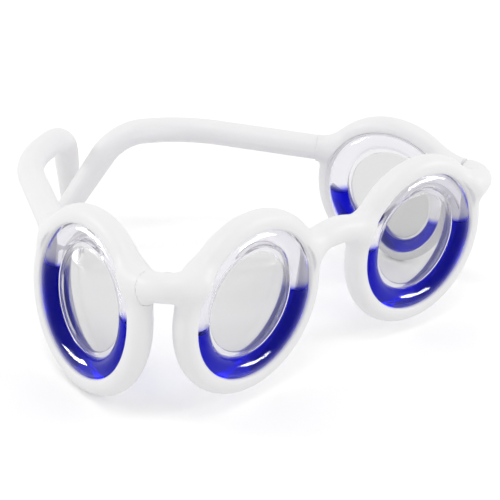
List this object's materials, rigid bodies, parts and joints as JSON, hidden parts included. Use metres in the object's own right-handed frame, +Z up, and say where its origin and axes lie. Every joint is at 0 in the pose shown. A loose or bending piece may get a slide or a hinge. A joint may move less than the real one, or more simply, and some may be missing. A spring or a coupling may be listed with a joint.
{
  "type": "motion sickness glasses",
  "caption": "White glasses frame with round front and temple rims, each holding a clear ring channel half full of blue liquid that shows a level horizon.",
  "frame": {"origin": "under the middle of the bounding box, in the plane of the table that the two side rims and the right arm's tip rest on", "axes": "+X to the wearer's left, +Y from the front rims back to the head, +Z up as the piece rests on a table"},
  "size_m": [0.1546, 0.1498, 0.0636],
  "materials": {
    "white_plastic": "satin moulded",
    "clear_plastic": "clear, polished",
    "blue_liquid": "dyed liquid",
    "pin_steel": "turned"
  },
  "bodies": {
    "front": {"front_frame": "white_plastic", "right_front_retainer": "white_plastic", "right_front_channel_face": "clear_plastic", "right_front_channel_back": "clear_plastic", "right_front_fill_plug": "clear_plastic", "left_front_retainer": "white_plastic", "left_front_channel_face": "clear_plastic", "left_front_channel_back": "clear_plastic", "left_front_fill_plug": "clear_plastic", "right_hinge_pin": "pin_steel", "left_hinge_pin": "pin_steel"},
    "right_temple": {"right_side_rim": "white_plastic", "right_side_retainer": "white_plastic", "right_side_channel_face": "clear_plastic", "right_side_channel_back": "clear_plastic", "right_side_fill_plug": "clear_plastic", "right_arm": "white_plastic"},
    "left_temple": {"left_side_rim": "white_plastic", "left_side_retainer": "white_plastic", "left_side_channel_face": "clear_plastic", "left_side_channel_back": "clear_plastic", "left_side_fill_plug": "clear_plastic", "left_arm": "white_plastic"},
    "right_front_liquid_body": {"right_front_liquid": "blue_liquid"},
    "right_side_liquid_body": {"right_side_liquid": "blue_liquid"},
    "left_front_liquid_body": {"left_front_liquid": "blue_liquid"},
    "left_side_liquid_body": {"left_side_liquid": "blue_liquid"}
  },
  "joints": [
    {"name": "right_hinge", "type": "hinge", "parent": "front", "child": "right_temple", "pos_m": [-0.06274, -0.06081, 0.0473], "axis": [0, -0.1392, -0.9903], "range_deg": [0, 2]},
    {"name": "left_hinge", "type": "hinge", "parent": "front", "child": "left_temple", "pos_m": [0.06536, -0.06081, 0.0473], "axis": [0, 0.1392, 0.9903], "range_deg": [-3, 18]},
    {"name": "right_front_level", "type": "hinge", "parent": "front", "child": "right_front_liquid_body", "pos_m": [-0.03589, -0.06768, 0.03362], "axis": [0.059, -0.9977, 0.0347], "continuous": true},
    {"name": "left_front_level", "type": "hinge", "parent": "front", "child": "left_front_liquid_body", "pos_m": [0.03851, -0.06768, 0.03362], "axis": [-0.059, -0.9977, 0.0347], "continuous": true},
    {"name": "right_side_level", "type": "hinge", "parent": "right_temple", "child": "right_side_liquid_body", "pos_m": [-0.07035, -0.03383, 0.03008], "axis": [-0.9936, 0.0495, 0.1018], "continuous": true},
    {"name": "left_side_level", "type": "hinge", "parent": "left_temple", "child": "left_side_liquid_body", "pos_m": [0.06539, -0.03286, 0.02994], "axis": [0.9527, 0.2964, 0.0671], "continuous": true}
  ]
}
